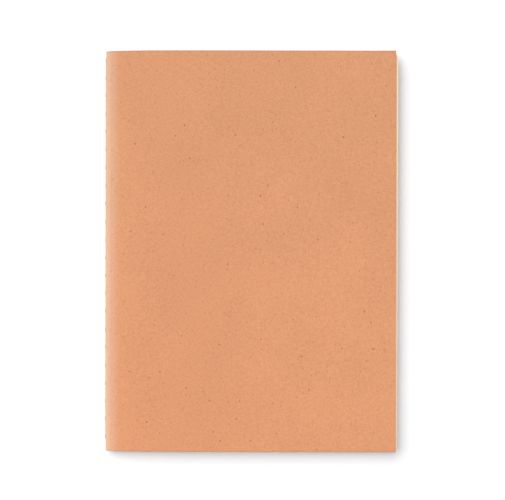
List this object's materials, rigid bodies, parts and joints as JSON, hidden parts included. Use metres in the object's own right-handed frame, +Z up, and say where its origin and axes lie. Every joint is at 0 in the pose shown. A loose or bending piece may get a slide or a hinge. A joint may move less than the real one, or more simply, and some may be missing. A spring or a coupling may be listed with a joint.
{
  "type": "pocket notebook",
  "caption": "Thread-sewn pocket notebook: folded blank sheets in a folded kraft card cover, opening at the centre spread.",
  "frame": {"origin": "middle of the underside's bounding box, on the surface that the closed notebook lies on", "axes": "+X from the sewn spine to the fore edge, +Y from tail to head, +Z up through the closed notebook"},
  "size_m": [0.1063, 0.145, 0.005],
  "materials": {
    "kraft_card": "matt, mottled fibres",
    "page_paper": "matt, uncoated cream",
    "sewing_thread": "matt, twisted"
  },
  "bodies": {
    "back_cover": {"back_cover": "kraft_card", "cover_spine": "kraft_card", "page_folds": "page_paper", "outer_thread": "sewing_thread", "inner_thread": "sewing_thread", "leaf_40": "page_paper"},
    "leaf_01": {"leaf_01": "page_paper"},
    "leaf_39": {"leaf_39": "page_paper"},
    "leaf_02": {"leaf_02": "page_paper"},
    "leaf_38": {"leaf_38": "page_paper"},
    "leaf_03": {"leaf_03": "page_paper"},
    "leaf_37": {"leaf_37": "page_paper"},
    "leaf_04": {"leaf_04": "page_paper"},
    "leaf_36": {"leaf_36": "page_paper"},
    "leaf_05": {"leaf_05": "page_paper"},
    "leaf_35": {"leaf_35": "page_paper"},
    "leaf_06": {"leaf_06": "page_paper"},
    "leaf_34": {"leaf_34": "page_paper"},
    "leaf_07": {"leaf_07": "page_paper"},
    "leaf_33": {"leaf_33": "page_paper"},
    "leaf_08": {"leaf_08": "page_paper"},
    "leaf_32": {"leaf_32": "page_paper"},
    "leaf_09": {"leaf_09": "page_paper"},
    "leaf_31": {"leaf_31": "page_paper"},
    "leaf_10": {"leaf_10": "page_paper"},
    "leaf_30": {"leaf_30": "page_paper"},
    "leaf_11": {"leaf_11": "page_paper"},
    "leaf_29": {"leaf_29": "page_paper"},
    "leaf_12": {"leaf_12": "page_paper"},
    "leaf_28": {"leaf_28": "page_paper"},
    "leaf_13": {"leaf_13": "page_paper"},
    "leaf_27": {"leaf_27": "page_paper"},
    "leaf_14": {"leaf_14": "page_paper"},
    "leaf_26": {"leaf_26": "page_paper"},
    "leaf_15": {"leaf_15": "page_paper"},
    "leaf_25": {"leaf_25": "page_paper"},
    "leaf_16": {"leaf_16": "page_paper"},
    "leaf_24": {"leaf_24": "page_paper"},
    "leaf_17": {"leaf_17": "page_paper"},
    "leaf_23": {"leaf_23": "page_paper"},
    "leaf_18": {"leaf_18": "page_paper"},
    "leaf_22": {"leaf_22": "page_paper"},
    "leaf_19": {"leaf_19": "page_paper"},
    "leaf_21": {"leaf_21": "page_paper"},
    "leaf_20": {"leaf_20": "page_paper"},
    "front_cover": {"front_cover": "kraft_card"}
  },
  "joints": [
    {"name": "centre_opening", "type": "hinge", "parent": "back_cover", "child": "leaf_01", "pos_m": [-0.05028, 0, 0.00252], "axis": [0, -1, 0], "range_deg": [0, 179.8], "deforming": ["cover_spine", "page_folds", "outer_thread"]},
    {"name": "leaf_39_lift", "type": "hinge", "parent": "back_cover", "child": "leaf_39", "pos_m": [-0.05028, 0, 0.00252], "axis": [0, -1, 0], "range_deg": [0, 0.033]},
    {"name": "leaf_02_turn", "type": "hinge", "parent": "leaf_39", "child": "leaf_02", "pos_m": [-0.05028, 0, 0.00252], "axis": [0, -1, 0], "range_deg": [0, 179.73]},
    {"name": "leaf_38_lift", "type": "hinge", "parent": "back_cover", "child": "leaf_38", "pos_m": [-0.05028, 0, 0.00252], "axis": [0, -1, 0], "range_deg": [0, 0.133]},
    {"name": "leaf_03_turn", "type": "hinge", "parent": "leaf_38", "child": "leaf_03", "pos_m": [-0.05028, 0, 0.00252], "axis": [0, -1, 0], "range_deg": [0, 179.53]},
    {"name": "leaf_37_lift", "type": "hinge", "parent": "back_cover", "child": "leaf_37", "pos_m": [-0.05028, 0, 0.00252], "axis": [0, -1, 0], "range_deg": [0, 0.299]},
    {"name": "leaf_04_turn", "type": "hinge", "parent": "leaf_37", "child": "leaf_04", "pos_m": [-0.05028, 0, 0.00252], "axis": [0, -1, 0], "range_deg": [0, 179.2]},
    {"name": "leaf_36_lift", "type": "hinge", "parent": "back_cover", "child": "leaf_36", "pos_m": [-0.05028, 0, 0.00252], "axis": [0, -1, 0], "range_deg": [0, 0.532]},
    {"name": "leaf_05_turn", "type": "hinge", "parent": "leaf_36", "child": "leaf_05", "pos_m": [-0.05028, 0, 0.00252], "axis": [0, -1, 0], "range_deg": [0, 178.74]},
    {"name": "leaf_35_lift", "type": "hinge", "parent": "back_cover", "child": "leaf_35", "pos_m": [-0.05028, 0, 0.00252], "axis": [0, -1, 0], "range_deg": [0, 0.831]},
    {"name": "leaf_06_turn", "type": "hinge", "parent": "leaf_35", "child": "leaf_06", "pos_m": [-0.05028, 0, 0.00252], "axis": [0, -1, 0], "range_deg": [0, 178.14]},
    {"name": "leaf_34_lift", "type": "hinge", "parent": "back_cover", "child": "leaf_34", "pos_m": [-0.05028, 0, 0.00252], "axis": [0, -1, 0], "range_deg": [0, 1.2]},
    {"name": "leaf_07_turn", "type": "hinge", "parent": "leaf_34", "child": "leaf_07", "pos_m": [-0.05028, 0, 0.00252], "axis": [0, -1, 0], "range_deg": [0, 177.41]},
    {"name": "leaf_33_lift", "type": "hinge", "parent": "back_cover", "child": "leaf_33", "pos_m": [-0.05028, 0, 0.00252], "axis": [0, -1, 0], "range_deg": [0, 1.63]},
    {"name": "leaf_08_turn", "type": "hinge", "parent": "leaf_33", "child": "leaf_08", "pos_m": [-0.05028, 0, 0.00252], "axis": [0, -1, 0], "range_deg": [0, 176.54]},
    {"name": "leaf_32_lift", "type": "hinge", "parent": "back_cover", "child": "leaf_32", "pos_m": [-0.05028, 0, 0.00252], "axis": [0, -1, 0], "range_deg": [0, 2.13]},
    {"name": "leaf_09_turn", "type": "hinge", "parent": "leaf_32", "child": "leaf_09", "pos_m": [-0.05028, 0, 0.00252], "axis": [0, -1, 0], "range_deg": [0, 175.55]},
    {"name": "leaf_31_lift", "type": "hinge", "parent": "back_cover", "child": "leaf_31", "pos_m": [-0.05028, 0, 0.00252], "axis": [0, -1, 0], "range_deg": [0, 2.69]},
    {"name": "leaf_10_turn", "type": "hinge", "parent": "leaf_31", "child": "leaf_10", "pos_m": [-0.05028, 0, 0.00252], "axis": [0, -1, 0], "range_deg": [0, 174.41]},
    {"name": "leaf_30_lift", "type": "hinge", "parent": "back_cover", "child": "leaf_30", "pos_m": [-0.05028, 0, 0.00252], "axis": [0, -1, 0], "range_deg": [0, 3.32]},
    {"name": "leaf_11_turn", "type": "hinge", "parent": "leaf_30", "child": "leaf_11", "pos_m": [-0.05028, 0, 0.00252], "axis": [0, -1, 0], "range_deg": [0, 173.15]},
    {"name": "leaf_29_lift", "type": "hinge", "parent": "back_cover", "child": "leaf_29", "pos_m": [-0.05028, 0, 0.00252], "axis": [0, -1, 0], "range_deg": [0, 4.02]},
    {"name": "leaf_12_turn", "type": "hinge", "parent": "leaf_29", "child": "leaf_12", "pos_m": [-0.05028, 0, 0.00252], "axis": [0, -1, 0], "range_deg": [0, 171.76]},
    {"name": "leaf_28_lift", "type": "hinge", "parent": "back_cover", "child": "leaf_28", "pos_m": [-0.05028, 0, 0.00252], "axis": [0, -1, 0], "range_deg": [0, 4.79]},
    {"name": "leaf_13_turn", "type": "hinge", "parent": "leaf_28", "child": "leaf_13", "pos_m": [-0.05028, 0, 0.00252], "axis": [0, -1, 0], "range_deg": [0, 170.23]},
    {"name": "leaf_27_lift", "type": "hinge", "parent": "back_cover", "child": "leaf_27", "pos_m": [-0.05028, 0, 0.00252], "axis": [0, -1, 0], "range_deg": [0, 5.62]},
    {"name": "leaf_14_turn", "type": "hinge", "parent": "leaf_27", "child": "leaf_14", "pos_m": [-0.05028, 0, 0.00252], "axis": [0, -1, 0], "range_deg": [0, 168.56]},
    {"name": "leaf_26_lift", "type": "hinge", "parent": "back_cover", "child": "leaf_26", "pos_m": [-0.05028, 0, 0.00252], "axis": [0, -1, 0], "range_deg": [0, 6.51]},
    {"name": "leaf_15_turn", "type": "hinge", "parent": "leaf_26", "child": "leaf_15", "pos_m": [-0.05028, 0, 0.00252], "axis": [0, -1, 0], "range_deg": [0, 166.77]},
    {"name": "leaf_25_lift", "type": "hinge", "parent": "back_cover", "child": "leaf_25", "pos_m": [-0.05028, 0, 0.00252], "axis": [0, -1, 0], "range_deg": [0, 7.48]},
    {"name": "leaf_16_turn", "type": "hinge", "parent": "leaf_25", "child": "leaf_16", "pos_m": [-0.05028, 0, 0.00252], "axis": [0, -1, 0], "range_deg": [0, 164.84]},
    {"name": "leaf_24_lift", "type": "hinge", "parent": "back_cover", "child": "leaf_24", "pos_m": [-0.05028, 0, 0.00252], "axis": [0, -1, 0], "range_deg": [0, 8.51]},
    {"name": "leaf_17_turn", "type": "hinge", "parent": "leaf_24", "child": "leaf_17", "pos_m": [-0.05028, 0, 0.00252], "axis": [0, -1, 0], "range_deg": [0, 162.78]},
    {"name": "leaf_23_lift", "type": "hinge", "parent": "back_cover", "child": "leaf_23", "pos_m": [-0.05028, 0, 0.00252], "axis": [0, -1, 0], "range_deg": [0, 9.61]},
    {"name": "leaf_18_turn", "type": "hinge", "parent": "leaf_23", "child": "leaf_18", "pos_m": [-0.05028, 0, 0.00252], "axis": [0, -1, 0], "range_deg": [0, 160.59]},
    {"name": "leaf_22_lift", "type": "hinge", "parent": "back_cover", "child": "leaf_22", "pos_m": [-0.05028, 0, 0.00252], "axis": [0, -1, 0], "range_deg": [0, 10.77]},
    {"name": "leaf_19_turn", "type": "hinge", "parent": "leaf_22", "child": "leaf_19", "pos_m": [-0.05028, 0, 0.00252], "axis": [0, -1, 0], "range_deg": [0, 158.26]},
    {"name": "leaf_21_lift", "type": "hinge", "parent": "back_cover", "child": "leaf_21", "pos_m": [-0.05028, 0, 0.00252], "axis": [0, -1, 0], "range_deg": [0, 12]},
    {"name": "leaf_20_turn", "type": "hinge", "parent": "leaf_21", "child": "leaf_20", "pos_m": [-0.05028, 0, 0.00252], "axis": [0, -1, 0], "range_deg": [0, 155.8]},
    {"name": "front_cover_hinge", "type": "hinge", "parent": "leaf_01", "child": "front_cover", "pos_m": [-0.04877, 0, 0.00509], "axis": [0, -1, 0], "range_deg": [0, 179.8]}
  ],
  "couplings": [
    {"joint": "leaf_39_lift", "follows": "centre_opening", "ratio": 0.00018354},
    {"joint": "leaf_02_turn", "follows": "centre_opening", "ratio": 0.99963},
    {"joint": "leaf_38_lift", "follows": "centre_opening", "ratio": 0.00073971},
    {"joint": "leaf_03_turn", "follows": "centre_opening", "ratio": 0.99852},
    {"joint": "leaf_37_lift", "follows": "centre_opening", "ratio": 0.001663},
    {"joint": "leaf_04_turn", "follows": "centre_opening", "ratio": 0.99667},
    {"joint": "leaf_36_lift", "follows": "centre_opening", "ratio": 0.0029588},
    {"joint": "leaf_05_turn", "follows": "centre_opening", "ratio": 0.99408},
    {"joint": "leaf_35_lift", "follows": "centre_opening", "ratio": 0.0046218},
    {"joint": "leaf_06_turn", "follows": "centre_opening", "ratio": 0.99076},
    {"joint": "leaf_34_lift", "follows": "centre_opening", "ratio": 0.0066574},
    {"joint": "leaf_07_turn", "follows": "centre_opening", "ratio": 0.98669},
    {"joint": "leaf_33_lift", "follows": "centre_opening", "ratio": 0.0090601},
    {"joint": "leaf_08_turn", "follows": "centre_opening", "ratio": 0.98188},
    {"joint": "leaf_32_lift", "follows": "centre_opening", "ratio": 0.01183},
    {"joint": "leaf_09_turn", "follows": "centre_opening", "ratio": 0.97634},
    {"joint": "leaf_31_lift", "follows": "centre_opening", "ratio": 0.014978},
    {"joint": "leaf_10_turn", "follows": "centre_opening", "ratio": 0.97004},
    {"joint": "leaf_30_lift", "follows": "centre_opening", "ratio": 0.018487},
    {"joint": "leaf_11_turn", "follows": "centre_opening", "ratio": 0.96303},
    {"joint": "leaf_29_lift", "follows": "centre_opening", "ratio": 0.022369},
    {"joint": "leaf_12_turn", "follows": "centre_opening", "ratio": 0.95526},
    {"joint": "leaf_28_lift", "follows": "centre_opening", "ratio": 0.026624},
    {"joint": "leaf_13_turn", "follows": "centre_opening", "ratio": 0.94675},
    {"joint": "leaf_27_lift", "follows": "centre_opening", "ratio": 0.031246},
    {"joint": "leaf_14_turn", "follows": "centre_opening", "ratio": 0.93751},
    {"joint": "leaf_26_lift", "follows": "centre_opening", "ratio": 0.036235},
    {"joint": "leaf_15_turn", "follows": "centre_opening", "ratio": 0.92753},
    {"joint": "leaf_25_lift", "follows": "centre_opening", "ratio": 0.041596},
    {"joint": "leaf_16_turn", "follows": "centre_opening", "ratio": 0.91681},
    {"joint": "leaf_24_lift", "follows": "centre_opening", "ratio": 0.04733},
    {"joint": "leaf_17_turn", "follows": "centre_opening", "ratio": 0.90534},
    {"joint": "leaf_23_lift", "follows": "centre_opening", "ratio": 0.053432},
    {"joint": "leaf_18_turn", "follows": "centre_opening", "ratio": 0.89314},
    {"joint": "leaf_22_lift", "follows": "centre_opening", "ratio": 0.0599},
    {"joint": "leaf_19_turn", "follows": "centre_opening", "ratio": 0.8802},
    {"joint": "leaf_21_lift", "follows": "centre_opening", "ratio": 0.066741},
    {"joint": "leaf_20_turn", "follows": "centre_opening", "ratio": 0.86652}
  ]
}
